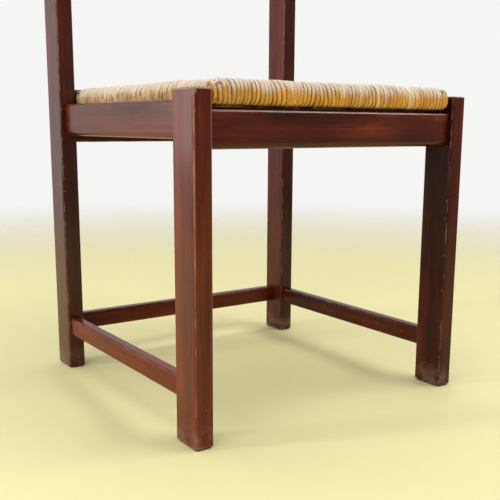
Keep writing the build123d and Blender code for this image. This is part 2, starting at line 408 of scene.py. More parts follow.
@dataclass(frozen=True)
class StainedWood(Finish):
    """Dark red-brown stain under satin varnish, nicked, with pale lines along the arrises that are partly
    wear and partly a painted highlight.
    """

    deep: Colour = srgb(43, 13, 5)
    middle: Colour = srgb(82, 27, 8)
    light: Colour = srgb(126, 51, 18)
    # Pale arris colour: partly wear, partly a painted highlight
    wear_sheen: Colour = srgb(188, 136, 126)
    bare: Colour = srgb(198, 150, 112)
    weathered: Colour = srgb(154, 126, 102)
    scuffed: Colour = srgb(128, 98, 92)
    mottle: Grain = (26.0, 0.2, 3.0)
    figure: Grain = (75.0, 0.04, 3.0)
    figure_share: float = 0.28
    fibre: Grain = (420.0, 0.02, 4.0)
    fibre_share: float = 0.26
    pores: Grain = (1500.0, 0.02, 2.0)
    pore_fade: Fade = (0.60, 0.74, 0.0, 1.0)
    pore_share: float = 0.3
    pore_depth: float = 0.6
    left_skin: Band = (0.0004, 0.0024)
    left_rise: Fade = (0.06, 0.34, 0.35, 1.0)
    patch_scale: float = 60.0
    # Sizes of the pale arris lines, partly wear and partly a painted highlight
    wear_sheen_patch: Fade = (0.42, 0.70, 0.0, 0.5)
    wear_sheen_heights: Band = (0.12, 0.34)
    wear_sheen_shares: Band = (0.4, 1.8)
    wear_sheen_width: float = 0.0012
    wear_sheen_spread: float = 0.0008
    scuff_patch: Fade = (0.40, 0.62, 0.0, 1.0)
    scuff_rise: Fade = (0.006, 0.039, 0.5, 0.0)
    nick_scale: float = 260.0
    nick_shape: Triple = (1.0, 1.0, 0.7)
    nick_size: Fade = (0.12, 0.26, 1.0, 0.0)
    nick_edge: Fade = (0.0028, 0.0046, 0.07, 0.003)
    nick_foot: Fade = (0.018, 0.12, 0.03, 0.0)
    nick_share: float = 0.55
    nick_roughness: float = 0.3
    nick_depth: float = 2.5
    wear_inset: Triple = (0.0018, 0.0012, 0.0030)
    wear_shape: Triple = (1.0, 0.8, 0.55)
    wear_scale: float = 340.0
    wear_raggedness: float = 0.0080
    wear_fade: Fade = (0.0052, 0.0076, 0.8, 0.0)
    gloss: Fade = (0.3, 0.7, 0.22, 0.36)
    gloss_level: float = 0.12
    varnish: float = 0.30
    varnish_roughness: float = 0.15
    relief: float = 0.00009

    def stain(self, surface: BoardSurface) -> tuple[Socket, Socket, Socket]:
        """Colour of the stained grain.

        Args:
            surface: What the board's shader starts from.

        Returns:
            The colour, the cloudy mottle and the height of the grain.
        """
        graph, board = surface.graph, surface.board
        mottle = surface.noise(*self.mottle)
        fibre = surface.noise(*self.fibre)
        pore = graph.step(surface.noise(*self.pores), *self.pore_fade)
        tone = graph.sway(mottle, board.cloud, board.tone + 0.5)
        tone = graph.sway(surface.noise(*self.figure), self.figure_share, tone)
        tone = graph.sway(fibre, self.fibre_share, tone)
        # Painted shade on the left face, or painted light where the share is negative
        if board.painted_left_shade:
            tone = graph.math("SUBTRACT", tone, self.painted_left_face(surface))
        colour = graph.ramp(tone, [(0.32, self.deep), (0.5, self.middle), (0.70, self.light)])
        colour = graph.mix(graph.product(pore, self.pore_share), colour, self.deep)
        return colour, mottle, graph.math("MULTIPLY_ADD", pore, -self.pore_depth, fibre)

    def painted_left_face(self, surface: BoardSurface) -> Socket:
        """Painted shade on the left face of a board, least of all at the foot; a negative share paints the
        face lighter instead.

        Args:
            surface: What the board's shader starts from.

        Returns:
            Socket with the share that the tone loses.
        """
        graph, board = surface.graph, surface.board
        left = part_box(board.node)[0][0]
        skin = [left + depth for depth in self.left_skin]
        face = graph.step(graph.parts(surface.place)[0], *skin, board.painted_left_shade, 0.0)
        return graph.product(face, graph.step(surface.height(), *self.left_rise))

    def wear_and_sheen(self, surface: BoardSurface, edge: Socket, patches: Socket) -> Socket:
        """Pale lines on the arrises, partly wear from hands and clothes and partly a painted highlight,
        strongest at the rails.

        Args:
            surface: What the board's shader starts from.
            edge: Distance from the nearest arris.
            patches: Noise that breaks the lines.

        Returns:
            Socket with the share of wear and painted highlight.
        """
        graph, wear_sheen_share = surface.graph, surface.board.wear_sheen_share
        shares = [share * wear_sheen_share for share in self.wear_sheen_shares]
        spread = graph.product(patches, graph.step(surface.height(), *self.wear_sheen_heights, *shares))
        worn_and_sheen = graph.math("MAXIMUM", graph.step(patches, *self.wear_sheen_patch), spread)
        end = self.wear_sheen_width + self.wear_sheen_spread * (1.0 + wear_sheen_share)
        return graph.product(worn_and_sheen, graph.step(edge, self.wear_sheen_width, end, 1.0, 0.0))

    def nicks(self, surface: BoardSurface, edge: Socket) -> Socket:
        """Small dents through the stain, most of them near arrises and feet.

        Args:
            surface: What the board's shader starts from.
            edge: Distance from the nearest arris.

        Returns:
            Socket that is 1 inside a dent.
        """
        graph = surface.graph
        cells = graph.mapped(surface.place, self.nick_shape, (surface.shift,) * 3)
        spots = graph.add("ShaderNodeTexVoronoi", {"Vector": cells, "Scale": self.nick_scale}).outputs
        chance = graph.add("ShaderNodeSeparateColor", {0: spots["Color"]}).outputs[0]
        at_edge = graph.step(edge, *self.nick_edge)
        at_foot = graph.step(surface.height(), *self.nick_foot)
        chosen = graph.math("LESS_THAN", chance, graph.math("ADD", at_edge, at_foot))
        return graph.product(chosen, graph.step(spots["Distance"], *self.nick_size))

    def corner_wear(self, surface: BoardSurface) -> Socket:
        """Weathered patch on the outer front corner at the top of a board.

        Args:
            surface: What the board's shader starts from.

        Returns:
            Socket that is highest in the patch and 0 outside it.
        """
        graph = surface.graph
        low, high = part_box(surface.board.node)
        right, back, down = self.wear_inset
        corner = (low[0] + right, low[1] + back, high[2] - down)
        away = graph.vector("SUBTRACT", surface.place, corner)
        length = graph.vector("LENGTH", graph.vector("MULTIPLY", away, self.wear_shape))
        noise = graph.noise(surface.place, self.wear_scale, detail=5.0)
        ragged = graph.math("MULTIPLY_ADD", noise, self.wear_raggedness, length)
        return graph.step(ragged, *self.wear_fade)

    def material(self, board: Board, shift: float) -> bpy.types.Material:
        """Material of one board.

        Args:
            board: The board that is dressed.
            shift: Offset that makes each board its own cut.

        Returns:
            The new material.
        """
        material, graph, shader = self.start(f"stained_wood_{board.node}")
        surface = BoardSurface(graph, self.place(graph), board, shift)
        colour, mottle, grain = self.stain(surface)
        edge = surface.edge_distance()
        patch_place = graph.mapped(surface.place, (self.patch_scale,) * 3, (shift, 0.0, shift))
        patches = graph.noise(patch_place, detail=4.0)
        # Pale arris lines: wear and a painted highlight
        colour = graph.mix(self.wear_and_sheen(surface, edge, patches), colour, self.wear_sheen)
        scuff = graph.product(graph.step(surface.height(), *self.scuff_rise),
                              graph.step(patches, *self.scuff_patch))
        colour = graph.mix(scuff, colour, self.scuffed)
        nick = self.nicks(surface, edge)
        colour = graph.mix(graph.product(nick, self.nick_share), colour, self.bare)
        if board.worn_corner:
            colour = graph.mix(self.corner_wear(surface), colour, self.weathered)
        gloss = graph.step(mottle, *self.gloss)
        graph.fill(shader, {
            "Base Color": colour,
            "Roughness": graph.math("MULTIPLY_ADD", nick, self.nick_roughness, gloss),
            "Specular IOR Level": self.gloss_level,
            "Coat Weight": self.varnish * board.polish,
            "Coat Roughness": self.varnish_roughness,
        })
        self.bump(graph, shader, graph.math("MULTIPLY_ADD", nick, -self.nick_depth, grain), self.relief)
        return material


@dataclass(frozen=True)
class PlainFinish(Finish):
    """Finish in which one noise sets colour, roughness and relief together."""

    dark: Colour
    pale: Colour
    scales: Triple
    detail: float
    gloss: Fade
    relief: float
    metallic: float = 0.0
    dark_end: float = 0.35
    pale_end: float = 0.65

    def material(self, name: str) -> bpy.types.Material:
        """Material of the finish.

        Args:
            name: Name of the material.

        Returns:
            The new material.
        """
        material, graph, shader = self.start(name)
        noise = graph.noise(graph.mapped(self.place(graph), self.scales), detail=self.detail)
        graph.fill(shader, {
            "Base Color": graph.ramp(noise, [(self.dark_end, self.dark), (self.pale_end, self.pale)]),
            "Roughness": graph.step(noise, *self.gloss),
            "Metallic": self.metallic,
        })
        self.bump(graph, shader, noise, self.relief)
        return material


def bare_wood(grain: Axis) -> PlainFinish:
    """Planed wood with no finish, for the frame inside the seat, its grain along an axis."""
    scales = tuple(8.0 if axis is grain else 220.0 for axis in Axis)
    return PlainFinish(srgb(164, 122, 78), srgb(206, 176, 132), scales, detail=6.0,
                       gloss=(0.3, 0.7, 0.78, 0.6), relief=0.0002)


def loose_packing() -> PlainFinish:
    """Loose rush waste stuffed inside the seat, short straws in all directions."""
    return PlainFinish(srgb(96, 74, 42), srgb(168, 136, 84), (500.0, 60.0, 300.0), detail=5.0,
                       gloss=(0.3, 0.7, 0.9, 0.7), relief=0.001)


def plated_steel() -> PlainFinish:
    """Zinc plated steel of the block screws, with dull patches."""
    return PlainFinish(srgb(120, 116, 108), srgb(176, 174, 168), (700.0,) * 3, detail=4.0,
                       gloss=(0.3, 0.7, 0.5, 0.3), relief=0.00005, metallic=1.0)


@dataclass(frozen=True)
class StrandSurface:
    """What the shader of the rush starts from; its place counts from the seat's lowest corner."""

    graph: NodeGraph
    place: Any
    tint: Socket
    along: Socket
    flank: Socket
    fibre: Socket
    blotch: Socket
    rim: Socket


@dataclass(frozen=True)
class Rush(Finish):
    """Dry twisted rush: each strand has its own tint, with painted warm bounce light low on the front edge,
    painted light on top, and painted shade on the flanks, in gaps and holes, under the seat and at the tips.

    Heights count from the seat's underside, and the front line from its front edge.
    """

    straw: Colour = srgb(226, 199, 149)
    honey: Colour = srgb(216, 177, 112)
    russet: Colour = srgb(178, 120, 68)
    cream: Colour = srgb(236, 220, 174)
    # Painted warm bounce light low on the front edge
    painted_bounce_glow: Colour = srgb(240, 174, 46)
    # Painted light on top of the seat
    painted_top_light: Colour = srgb(238, 230, 218)
    # Darker colour: each strand's own darker tint and fibres, and painted shade on the strand flanks
    dark_tint_and_shade: Colour = srgb(150, 90, 32)
    # Painted shade for gaps, holes, the underside and the strand tips
    painted_gap_shade: Colour = srgb(86, 54, 24)
    foot_height: float = 0.0005
    foot_fade: float = 0.004
    edge_height: float = 0.0140
    top_height: float = 0.0270
    front_line: float = 0.035
    front_fade: float = 0.015
    rim_fade: Fade = (0.018, 0.048, 1.0, 0.0)
    fibre_scales: Triple = (28.0, 13.0, 60.0)
    blotch_scales: Triple = (26.0, 90.0, 1.0)
    hole_scales: Triple = (75.0, 310.0, 1.0)
    blotch_fade: Fade = (0.58, 0.80, 0.0, 0.45)
    raggedness: float = 0.032
    # Shares of painted bounce light on the front and on the other sides
    bounce_glow_shares: Band = (0.82, 0.2)
    cream_fade: Fade = (0.87, 0.93, 1.0, 0.6)
    age_spread: float = 7.3
    age_fade: Fade = (0.25, 0.95, 0.0, 0.38)
    # Painted light on top, extra at the rim and everywhere on top
    rim_top_light: float = 0.48
    top_light_share: float = 0.20
    fibre_fade: Fade = (0.28, 0.54, 0.5, 0.0)
    # Painted shade on the flanks where strands meet
    flank_fade: Fade = (0.42, 0.88, 0.0, 0.62)
    # Painted shade in gaps, painted holes and painted shade at the tips
    gap_fade: Fade = (0.5, 0.9, 0.0, 1.0)
    gap_share: float = 0.8
    hole_fade: Fade = (0.53, 0.62, 0.0, 0.85)
    hole_flank: Fade = (0.3, 0.7, 0.0, 1.0)
    under_rim_share: float = 0.30
    under_share: float = 0.60
    tip_fade: Fade = (0.002, 0.007, 0.85, 0.0)
    gloss: Fade = (0.3, 0.7, 0.7, 0.48)
    gloss_level: float = 0.35
    relief: float = 0.0005

    def dry_colour(self, strand: StrandSurface) -> Socket:
        """Colour of the dry strands, with painted warm bounce light low on the front edge and painted light
        on top.

        Args:
            strand: What the shader starts from.

        Returns:
            The colour socket.
        """
        graph, tint = strand.graph, strand.tint
        stops = [(0.0, self.russet), (0.07, self.honey), (0.30, self.straw), (0.55, self.honey),
                 (0.80, self.straw), (0.93, self.cream)]
        colour = graph.ramp(tint, stops)
        colour = graph.mix(graph.step(strand.blotch, *self.blotch_fade), colour, self.russet)
        ragged = graph.sway(strand.blotch, self.raggedness, strand.place[2])
        edge = graph.step(ragged, self.edge_height, self.top_height, 1.0, 0.0)
        # Painted warm bounce light, low on the edge and strongest at the front
        front = graph.step(strand.place[1], self.front_line - self.front_fade, self.front_line,
                           *self.bounce_glow_shares)
        bounce_glow = graph.product(edge, front, graph.step(tint, *self.cream_fade))
        colour = graph.mix(bounce_glow, colour, self.painted_bounce_glow)
        age = graph.math("FRACT", graph.product(tint, self.age_spread))
        colour = graph.mix(graph.step(age, *self.age_fade), colour, self.dark_tint_and_shade)
        # Painted light on top of the seat, strongest at the rim
        top_lit = graph.product(graph.math("MULTIPLY_ADD", strand.rim, self.rim_top_light, self.top_light_share),
                              graph.step(ragged, self.edge_height, self.top_height))
        return graph.mix(top_lit, colour, self.painted_top_light)

    def creased(self, strand: StrandSurface, colour: Socket) -> Socket:
        """The colour with darker fibres and with painted shade on the flanks, in gaps, in painted holes,
        under the seat and at the tips.

        Args:
            strand: What the shader starts from.
            colour: Colour of the dry strands.

        Returns:
            The darkened colour.
        """
        graph, flank, height = strand.graph, strand.flank, strand.place[2]
        # Darker fibres, and painted shade on the strand flanks
        for share in (graph.step(strand.fibre, *self.fibre_fade), graph.step(flank, *self.flank_fade)):
            colour = graph.mix(share, colour, self.dark_tint_and_shade)
        # Painted shade in the gaps between strands near the foot
        gaps = graph.product(graph.step(flank, *self.gap_fade),
                             graph.step(height, self.foot_height, self.edge_height, self.gap_share, 0.0))
        # Painted dark holes between strands near the front edge
        hole_place = graph.mapped(graph.joined(strand.along, strand.tint), self.hole_scales)
        holes = graph.product(graph.step(graph.noise(hole_place, detail=1.0), *self.hole_fade),
                              graph.step(strand.place[1], self.front_line - self.front_fade, self.front_line),
                              graph.step(flank, *self.hole_flank),
                              graph.step(height, self.edge_height, self.top_height, 1.0, 0.0))
        # Painted shade under the seat, deeper at the rim
        foot = graph.step(height, self.foot_height, self.foot_height + self.foot_fade, 1.0, 0.0)
        under = graph.math("MULTIPLY_ADD", strand.rim, self.under_rim_share, self.under_share)
        # Painted shade at the strand tips along the seams
        tips = graph.step(strand.along, *self.tip_fade)
        for share in (gaps, holes, graph.product(foot, under), tips):
            colour = graph.mix(share, colour, self.painted_gap_shade)
        return colour

    def material(self, name: str, seat: Box) -> bpy.types.Material:
        """Material that reads what the strands of the weave store.

        Args:
            name: Name of the material.
            seat: Lowest and highest corner of the seat.

        Returns:
            The new material.
        """
        material, graph, shader = self.start(name)
        low, high = seat
        place = graph.parts(graph.vector("SUBTRACT", self.place(graph), low))
        tint = graph.attribute("strand_tint")
        along = graph.attribute("strand_along")
        around = graph.attribute("strand_around")
        fibre_place = graph.mapped(graph.joined(along, around, tint), self.fibre_scales)
        blotch_place = graph.mapped(graph.joined(along, tint), self.blotch_scales)
        inset = graph.math("MINIMUM", *(graph.inset(place, axis, (Vector(), high - low)) for axis in (0, 1)))
        strand = StrandSurface(
            graph, place, tint, along,
            flank=graph.attribute("strand_flank"),
            fibre=graph.noise(fibre_place, detail=5.0, roughness=0.65),
            blotch=graph.noise(blotch_place, detail=3.0),
            rim=graph.step(inset, *self.rim_fade),
        )
        graph.fill(shader, {
            "Base Color": self.creased(strand, self.dry_colour(strand)),
            "Roughness": graph.step(strand.fibre, *self.gloss),
            "Specular IOR Level": self.gloss_level,
        })
        self.bump(graph, shader, strand.fibre, self.relief)
        return material


@dataclass(frozen=True)
class BlackPad(Finish):
    """Matt black pad under a foot, greyed by dust."""

    black: Colour = srgb(24, 23, 23)
    dusty: Colour = srgb(58, 55, 52)
    nap_scale: float = 900.0
    dust_scale: float = 90.0
    dust_fade: Fade = (0.45, 0.75, 0.0, 1.0)
    gloss: Fade = (0.3, 0.7, 0.95, 0.75)
    relief: float = 0.0003

    def material(self, name: str) -> bpy.types.Material:
        """Material with a fine nap and dust.

        Args:
            name: Name of the material.

        Returns:
            The new material.
        """
        material, graph, shader = self.start(name)
        place = self.place(graph)
        nap = graph.noise(place, self.nap_scale, detail=4.0)
        dust = graph.step(graph.noise(place, self.dust_scale, detail=3.0), *self.dust_fade)
        graph.fill(shader, {
            "Base Color": graph.mix(dust, self.black, self.dusty),
            "Roughness": graph.step(nap, *self.gloss),
        })
        self.bump(graph, shader, nap, self.relief)
        return material


@dataclass(frozen=True)
class PaleFloor(Finish):
    """Plain pale studio floor."""

    tone: Colour = srgb(236, 229, 172)
    darker: Colour = srgb(233, 225, 166)
    cloud_scale: float = 1.5
    gloss: Fade = (0.3, 0.7, 0.7, 0.6)
    gloss_level: float = 0.2
    far_fade: Fade = (0.75, 3.0, 1.0, 0.0)

    def material(self, name: str) -> bpy.types.Material:
        """Nearly even matt material that thins out far from the chair.

        Args:
            name: Name of the material.

        Returns:
            The new material.
        """
        material, graph, shader = self.start(name)
        place = self.place(graph)
        cloud = graph.noise(place, self.cloud_scale, detail=2.0)
        graph.fill(shader, {
            "Base Color": graph.mix(cloud, self.tone, self.darker),
            "Roughness": graph.step(cloud, *self.gloss),
            "Specular IOR Level": self.gloss_level,
            "Alpha": graph.step(graph.vector("LENGTH", place), *self.far_fade),
        })
        return material


def frame_boards() -> list[Board]:
    """List the boards of the fixed frame.

    Returns:
        The boards, where the place in the list decides each one's cut of wood.
    """
    bearers = {"front": Axis.X, "back": Axis.X, "left": Axis.Y, "right": Axis.Y}
    return [
        Board("front_leg_left", Axis.Z, 0.06, 0.75, ends_show=True, worn_corner=True),
        # Painted shade on this leg's left face
        Board("front_leg_right", Axis.Z, -0.04, cloud=0.5, polish=0.35, painted_left_shade=0.18, ends_show=True),
        Board("back_post_left", Axis.Z, -0.06, polish=1.15, ends_show=True),
        # Painted light on this post's left face
        Board("back_post_right", Axis.Z, -0.11, polish=0.9, painted_left_shade=-0.17, ends_show=True),
        Board("front_rail", Axis.X, -0.02, 1.0, cloud=0.75),
        Board("back_rail", Axis.X, -0.04),
        Board("side_rail_left", Axis.Y),
        Board("side_rail_right", Axis.Y, -0.04),
        Board("side_stretcher_left", Axis.Y, 0.07, polish=0.2),
        Board("side_stretcher_right", Axis.Y, -0.08, polish=0.25),
        Board("back_stretcher", Axis.X, polish=0.35),
        Board("lower_back_slat", Axis.X),
        Board("upper_back_slat", Axis.X, 0.02),
        *(Board(f"seat_bearer_{side}", grain, -0.04) for side, grain in bearers.items()),
        *(Board(f"corner_block_{corner}", Axis.Y, -0.05) for corner in CORNERS),
    ]


@dataclass
class ChairFrame:
    """The fixed wooden frame: legs, posts, rails, stretchers, slats, bearers, blocks and foot pads."""

    wood: StainedWood = StainedWood()
    pad: BlackPad = BlackPad()
    cut_spacing: float = 3.7

    def dress(self) -> None:
        """Give every fixed piece its finish."""
        for number, board in enumerate(frame_boards(), start=1):
            put_on(board.node, self.wood.material(board, self.cut_spacing * number))
        pad = self.pad.material("black_pad")
        for corner in CORNERS:
            put_on(f"foot_pad_{corner}", pad)


@dataclass
class BlockScrews:
    """Slotted screws that hold the corner blocks, two in the slanting face of each block."""

    head_radius: float = 0.0042
    head_height: float = 0.0018
    head_sides: int = 20
    crown_share: float = 0.8
    slot_width: float = 0.0011
    slot_depth: float = 0.0009
    slot_overrun: float = 3.0
    spacing: float = 0.030
    drop: float = 0.015
    turn_variation: float = 2.6
    seed: int = 5

    def places(self) -> tuple[list[Vector], list[Vector]]:
        """Where the heads sit and which way they look.

        Returns:
            Points on the slanting faces and their directions.
        """
        points, looks = [], []
        for end, toward_back in (("front", 1), ("back", -1)):
            for side, toward_right in (("left", 1), ("right", -1)):
                low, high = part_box(f"corner_block_{end}_{side}")
                look = Vector((toward_right, toward_back, 0)).normalized()
                along = Vector((look.y, -look.x, 0))
                middle = Vector(((low.x + high.x) / 2, (low.y + high.y) / 2, high.z - self.drop))
                for shift in (-0.5, 0.5):
                    points.append(middle + along * self.spacing * shift)
                    looks.append(look)
        return points, looks

    def tree(self) -> bpy.types.GeometryNodeTree:
        """Node tree that sets a slotted head on every point.

        Returns:
            Tree with named inputs for the head's sizes.
        """
        sizes = ("Head Radius", "Head Height", "Slot Width", "Slot Depth", "Turn Variation")
        graph = GrowthTree("block_screws", dict.fromkeys(sizes, "Float"))
        given = graph.given
        head = graph.add("GeometryNodeMeshCone", {
            "Vertices": self.head_sides,
            "Radius Top": graph.product(given["Head Radius"], self.crown_share),
            "Radius Bottom": given["Head Radius"],
            "Depth": given["Head Height"],
        }).outputs[0]
        length = graph.product(given["Head Radius"], self.slot_overrun)
        size = graph.joined(length, given["Slot Width"], graph.product(given["Slot Depth"], 2.0))
        slot = graph.add("GeometryNodeMeshCube", {"Size": size}).outputs[0]
        lift = graph.joined(0.0, 0.0, given["Head Height"])
        slot = graph.add("GeometryNodeTransform", {"Geometry": slot, "Translation": lift}).outputs[0]
        cut = graph.add("GeometryNodeMeshBoolean", {"Mesh 1": head, "Mesh 2": slot},
                        operation="DIFFERENCE").outputs[0]
        look = graph.add("GeometryNodeInputNamedAttribute", {"Name": "look"},
                         data_type="FLOAT_VECTOR").outputs[0]
        facing = graph.add("FunctionNodeAlignRotationToVector", {"Vector": look}, axis="Z").outputs[0]
        chance = {3: given["Turn Variation"], "Seed": given["Seed"]}
        turn = graph.add("FunctionNodeRandomValue", chance).outputs[1]
        upright = {"Axis": (0.0, 0.0, 1.0), "Angle": turn}
        spin = graph.add("FunctionNodeAxisAngleToRotation", upright).outputs[0]
        turned = graph.add("FunctionNodeRotateRotation", {"Rotation": facing, "Rotate By": spin},
                           rotation_space="LOCAL").outputs[0]
        heads = {"Points": given["Geometry"], "Instance": cut, "Rotation": turned}
        return graph.end(graph.add("GeometryNodeInstanceOnPoints", heads).outputs[0])

    def build(self) -> None:
        """Set the screws into the blocks."""
        points, looks = self.places()
        mesh = bpy.data.meshes.new("screw_points")
        mesh.from_pydata(points, [], [])
        look = mesh.attributes.new("look", "FLOAT_VECTOR", "POINT")
        for value, direction in zip(look.data, looks):
            value.vector = direction
        sizes = {"Head Radius": self.head_radius, "Head Height": self.head_height,
                 "Slot Width": self.slot_width, "Slot Depth": self.slot_depth,
                 "Turn Variation": self.turn_variation, "Seed": self.seed,
                 "Material": plated_steel().material("plated_steel")}
        screws = grown(placed("screw_points", mesh), self.tree(), sizes, "block_screws")
        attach(screws, "frame")


@dataclass(frozen=True)
class WeaveSide:
    """One side of the seat, which its strands cross at right angles."""

    name: str
    start: Vector
    along: Vector
    inward: Vector
    length: float
    fullness: float


class Drift:
    """Slow wandering of neighbouring strands along a side, nothing at the corners."""

    WAVES = 5
    SIZE_SHARES: Band = (0.6, 1.4)
    WAVE_LENGTHS: Band = (0.028, 0.13)
    FADE = 0.03

    def __init__(self, rng: random.Random, size: float, length: float) -> None:
        """Draw the waves that add up to the drift.

        Args:
            rng: Source of the small faults of hand work.
            size: Height of each wave.
            length: Length of the side.
        """
        self.length = length
        self.waves = [(size * rng.uniform(*self.SIZE_SHARES), math.tau / rng.uniform(*self.WAVE_LENGTHS),
                       rng.uniform(0, math.tau)) for _ in range(self.WAVES)]

    def at(self, place: float) -> float:
        """Drift of the strand at a place along the side."""
        fade = min(1.0, place / self.FADE, (self.length - place) / self.FADE)
        return fade * sum(size * math.sin(rate * place + phase) for size, rate, phase in self.waves)


@dataclass
class RushWeave:
    """The woven seat: strands wound over four sides, meeting on diagonal seams."""

    pitch: float = 0.0060
    strand_radius: float = 0.0036
    left_fullness: float = 0.88
    thick_strand: float = 1.15
    crown: float = 0.0050
    crown_steps: int = 32
    top_round: float = 0.0150
    top_steps: int = 9
    foot_round: float = 0.0110
    foot_steps: int = 7
    corner_round: float = 0.0100
    first_strand: float = 0.0058
    corner_depth: float = 0.0115
    end_draw: float = 0.0150
    end_squeeze: float = 0.24
    seam_dip: float = 0.06
    tucks: tuple[Band, Band] = ((0.0014, 0.50), (0.0009, 0.22))
    wave_height: float = 0.0007
    wave_count: float = 0.9
    wave_start: float = 0.12
    bulge_height: float = 0.0021
    bulge_place: float = 0.70
    bulge_width: float = 0.12
    lean: float = 0.0008
    foot_lean: float = 0.0012
    jitter: float = 0.00022
    waver_rates: Band = (60.0, 140.0)
    sample: float = 0.0040
    profile_points: int = 9
    radius_variation: float = 0.20
    thinnest: float = 0.82
    thickness_range: float = 0.36
    thickness_spread: float = 17.0
    swell_scale: float = 90.0
    swell_spread: float = 40.0
    turns_per_metre: float = 24.0
    turn_spread: float = 50.0
    plies: int = 2
    ply_depth: float = 0.05
    seed: int = 11
    finish: Rush = Rush()
    seat: Box = field(init=False)
    sides: list[WeaveSide] = field(init=False)
    edge_height: float = field(init=False)
    reach: float = field(init=False)

    def __post_init__(self) -> None:
        """Take the seat's place from the CAD panels that the weave stands for."""
        names = ("front", "right", "rear", "left")
        boxes = [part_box(f"rush_{name}") for name in names]
        low = Vector([min(box[0][axis] for box in boxes) for axis in range(3)])
        high = Vector([max(box[1][axis] for box in boxes) for axis in range(3)])
        self.seat = (low, high)
        self.edge_height = high.z - low.z - self.crown
        self.reach = min(high.x - low.x, high.y - low.y) / 2
        ring = [(low.x, low.y), (high.x, low.y), (high.x, high.y), (low.x, high.y)]
        self.sides = []
        for number, name in enumerate(names):
            start = Vector((*ring[number], low.z))
            run = Vector((*ring[(number + 1) % 4], low.z)) - start
            along = run.normalized()
            inward = Vector((0, 0, 1)).cross(along)
            fullness = self.left_fullness if name == "left" else 1.0
            self.sides.append(WeaveSide(name, start, along, inward, run.length, fullness))

    def section(self) -> list[tuple[float, float]]:
        """Middle line of a strand in section, from the ridge over the edge to the underside.

        Returns:
            Points as distance from the edge and height over the seat's underside.
        """
        radius = self.strand_radius * self.thick_strand
        top = self.edge_height - radius
        points = []
        for step in range(self.crown_steps):
            share = step / self.crown_steps
            inset = self.reach + (self.top_round - self.reach) * share
            points.append((inset, top + self.crown * (1 - share * share)))
        roll = self.top_round - radius
        for step in range(self.top_steps + 1):
            angle = math.pi / 2 * (1 + step / self.top_steps)
            points.append((self.top_round + roll * math.cos(angle),
                           self.edge_height - self.top_round + roll * math.sin(angle)))
        for step in range(self.foot_steps + 1):
            angle = math.pi * (1 + step / (2 * self.foot_steps))
            points.append((self.foot_round + (self.foot_round - radius) * math.cos(angle),
                           self.foot_round + (self.foot_round - self.strand_radius) * math.sin(angle)))
        points.append((self.reach, self.strand_radius))
        return points

    def clipped(self, depth: float) -> list[tuple[float, float]]:
        """The section of a strand that ends at a seam, with its ends tucked into the seat.

        Args:
            depth: Distance of the seam from the edge.

        Returns:
            Points as distance from the edge and height.
        """
        line = self.section()
        kept: list[tuple[float, float]] = []
        for first, second in zip(line, line[1:]):
            if (first[0] < depth) != (second[0] < depth):
                share = (depth - first[0]) / (second[0] - first[0])
                kept.append((depth, first[1] + (second[1] - first[1]) * share))
            if second[0] < depth:
                kept.append(second)
        for end in (0, -1):
            inset, height = kept[end]
            drop = self.edge_height / 2 - height
            kept[end] = (inset, height + drop * self.seam_dip)
            tuck = [(inset + past, height + drop * share) for past, share in self.tucks]
            kept[:] = tuck + kept if end == 0 else kept + tuck[::-1]
        return kept

    def swell(self, side: WeaveSide, place: float) -> float:
        """How much the hand-packed edge stands higher or lower along a side.

        Args:
            side: Side of the seat.
            place: Distance from the side's start.

        Returns:
            Rise of the upper edge.
        """
        share = place / side.length
        wave = self.wave_height * math.sin(math.tau * (self.wave_count * share + self.wave_start))
        bulge = self.bulge_height * math.exp(-((share - self.bulge_place) / self.bulge_width) ** 2)
        return wave + bulge

    def strand(self, side: WeaveSide, place: float, leans: tuple[Drift, Drift],
               rng: random.Random) -> list[Vector]:
        """Path of one strand in space.

        Args:
            side: Side of the seat that the strand crosses.
            place: Distance of the strand from the side's start.
            leans: How far strands stray along the side at their top and foot.
            rng: Source of the small faults of hand work.

        Returns:
            Points of the strand's middle line.
        """
        depth = min(place, side.length - place, self.reach)
        corner = max(self.corner_round - depth, 0.0)
        pulled_in = self.corner_round - math.sqrt(self.corner_round ** 2 - corner ** 2)
        squeeze = self.end_squeeze * max(1 - depth / self.end_draw, 0.0) ** 2
        swell = self.swell(side, place)
        top_drift = leans[0].at(place) + rng.gauss(0, self.jitter)
        foot_drift = leans[1].at(place) + rng.gauss(0, self.jitter)
        waver, phase = rng.uniform(*self.waver_rates), rng.uniform(0, math.tau)
        lift = rng.gauss(0, self.jitter)
        points = []
        for inset, height in self.clipped(max(depth, self.corner_depth)):
            share = min(max(height / self.edge_height, 0.0), 1.0)
            drift = foot_drift + (top_drift - foot_drift) * share
            drift += self.jitter * math.sin(waver * inset + phase)
            draw = pulled_in * max(0.0, 1 - inset / (2 * self.corner_round))
            level = height - squeeze * (height - self.edge_height / 2) + swell * share ** 3 + lift
            points.append(side.start + side.along * (place + drift) + side.inward * (inset + draw)
                          + Vector((0, 0, level)))
        return points

    def strand_tree(self) -> bpy.types.GeometryNodeTree:
        """Node tree that turns strand paths into twisted cords.

        Returns:
            Tree with named inputs for the strand's sizes.
        """
        sizes = ("Strand Radius", "Radius Variation", "Turns per Metre", "Ply Depth", "Sample Length")
        kinds = {**dict.fromkeys(sizes, "Float"), "Profile Points": "Int", "Side Direction": "Vector"}
        graph = GrowthTree("rush_strands", kinds)
        given = graph.given
        place = graph.add("GeometryNodeInputPosition").outputs[0]
        spline = graph.add("GeometryNodeSplineParameter").outputs
        along, around = spline["Length"], spline["Factor"]
        strand = graph.add("GeometryNodeCurveOfPoint").outputs["Curve Index"]
        chance = graph.add("FunctionNodeRandomValue", {"ID": strand, "Seed": given["Seed"]}).outputs[1]

